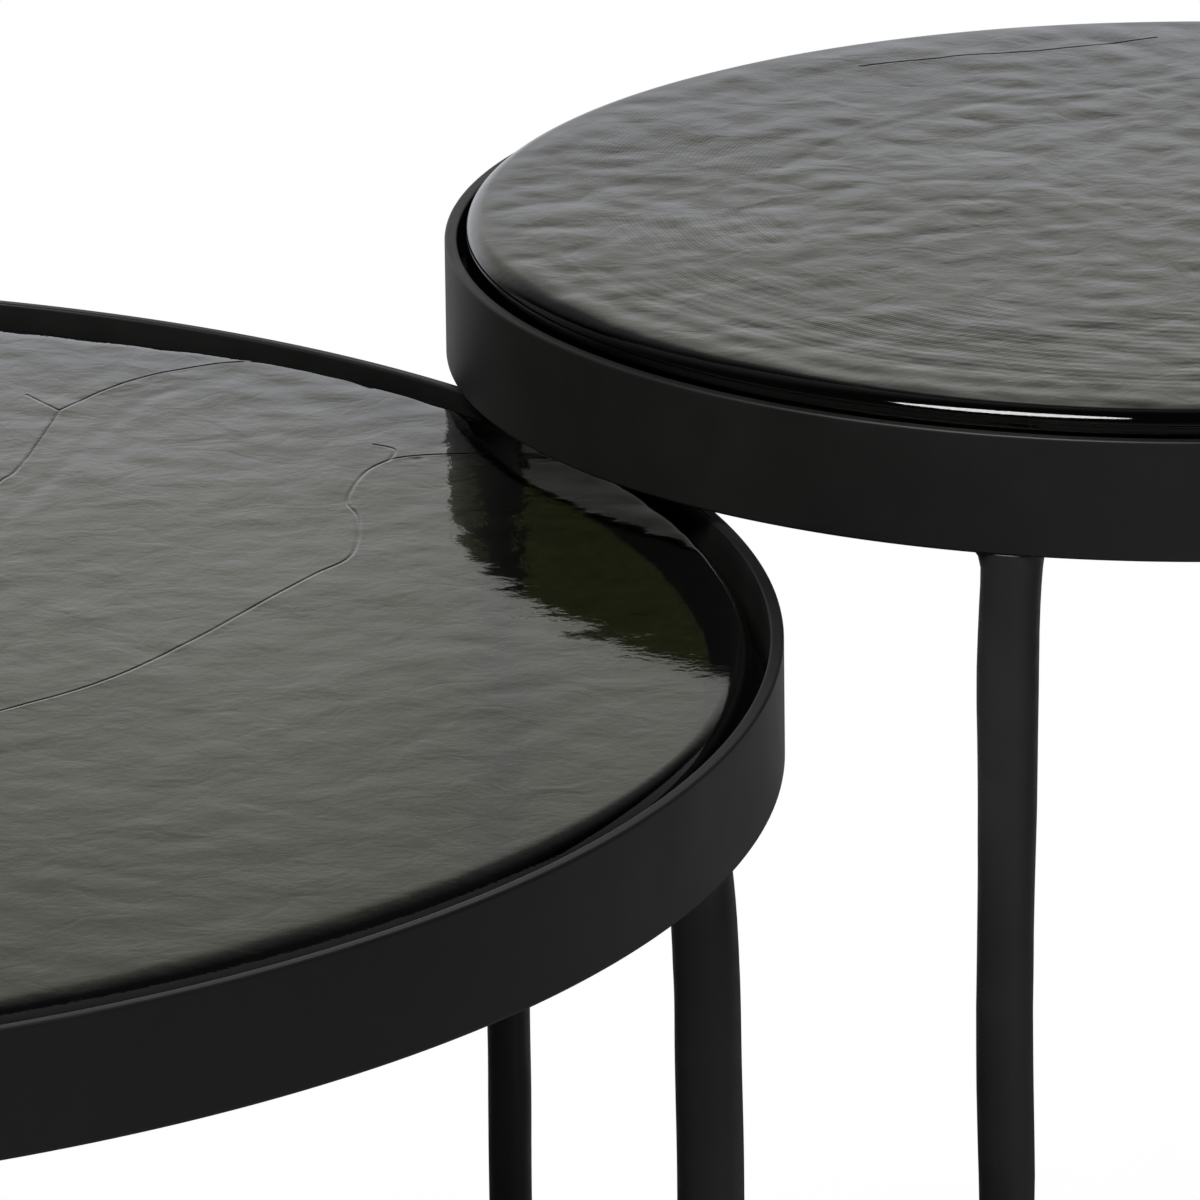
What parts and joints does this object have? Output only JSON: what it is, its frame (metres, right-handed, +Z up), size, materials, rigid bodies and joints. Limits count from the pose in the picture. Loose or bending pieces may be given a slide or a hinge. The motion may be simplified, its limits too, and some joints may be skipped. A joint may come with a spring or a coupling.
{
  "type": "nesting tables",
  "caption": "Pair of round nesting tables with thick cast-glass tops set in flat-bar hoops on forged legs; the taller small one slides in over the rim of the large one.",
  "frame": {"origin": "on the floor, under the middle of the pair's box", "axes": "+Z up, +X from the large table's side towards the small table, along which the pair nests"},
  "size_m": [1.24, 0.79, 0.4295],
  "materials": {
    "black_steel": "matt black powder coat",
    "cast_glass": "polished, rippled, near-black olive cast glass",
    "silicone": "satin",
    "glide_plastic": "satin moulded"
  },
  "bodies": {
    "large_table": {"large_ring": "black_steel", "large_ledge": "black_steel", "large_pads": "silicone", "large_top": "cast_glass", "large_leg_1": "black_steel", "large_leg_2": "black_steel", "large_leg_3": "black_steel", "large_leg_4": "black_steel", "large_glide_1": "glide_plastic", "large_glide_2": "glide_plastic", "large_glide_3": "glide_plastic", "large_glide_4": "glide_plastic"},
    "small_table": {"small_ring": "black_steel", "small_ledge": "black_steel", "small_pads": "silicone", "small_leg_1": "black_steel", "small_leg_2": "black_steel", "small_leg_3": "black_steel", "small_leg_4": "black_steel", "small_glide_1": "glide_plastic", "small_glide_2": "glide_plastic", "small_glide_3": "glide_plastic", "small_glide_4": "glide_plastic"},
    "small_glass": {"small_top": "cast_glass"}
  },
  "joints": [
    {"name": "nest_slide", "type": "slide", "parent": "large_table", "child": "small_table", "axis": [1, 0, 0], "range_m": [-0.055, 0.2]},
    {"name": "small_top_lift", "type": "slide", "parent": "small_table", "child": "small_glass", "axis": [0, 0, 1], "range_m": [0, 0.06]}
  ]
}
